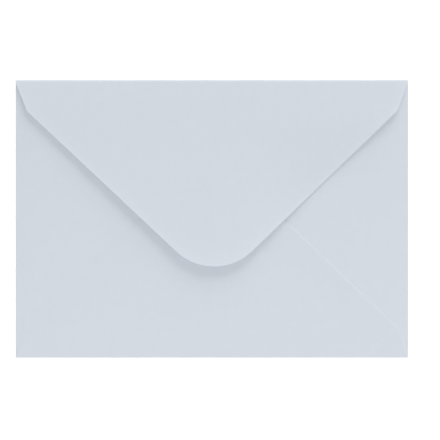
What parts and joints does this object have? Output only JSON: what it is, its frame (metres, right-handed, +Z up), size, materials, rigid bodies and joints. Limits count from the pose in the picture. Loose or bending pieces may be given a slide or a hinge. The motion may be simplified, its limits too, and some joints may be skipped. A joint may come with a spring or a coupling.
{
  "type": "paper envelope",
  "caption": "Blank rectangular paper envelope made of one folded sheet, with side flaps under a glued bottom flap and a pointed top flap folded over but left unstuck.",
  "frame": {"origin": "under the middle of the envelope's outline, on the surface that it lies on", "axes": "+X along the width, +Y towards the top crease, +Z up through the flap side"},
  "size_m": [0.229, 0.162, 0.0048],
  "materials": {
    "paper": "uncoated white wove paper, matt, with a faint cool tint"
  },
  "bodies": {
    "root": {"envelope": "paper"}
  },
  "joints": []
}
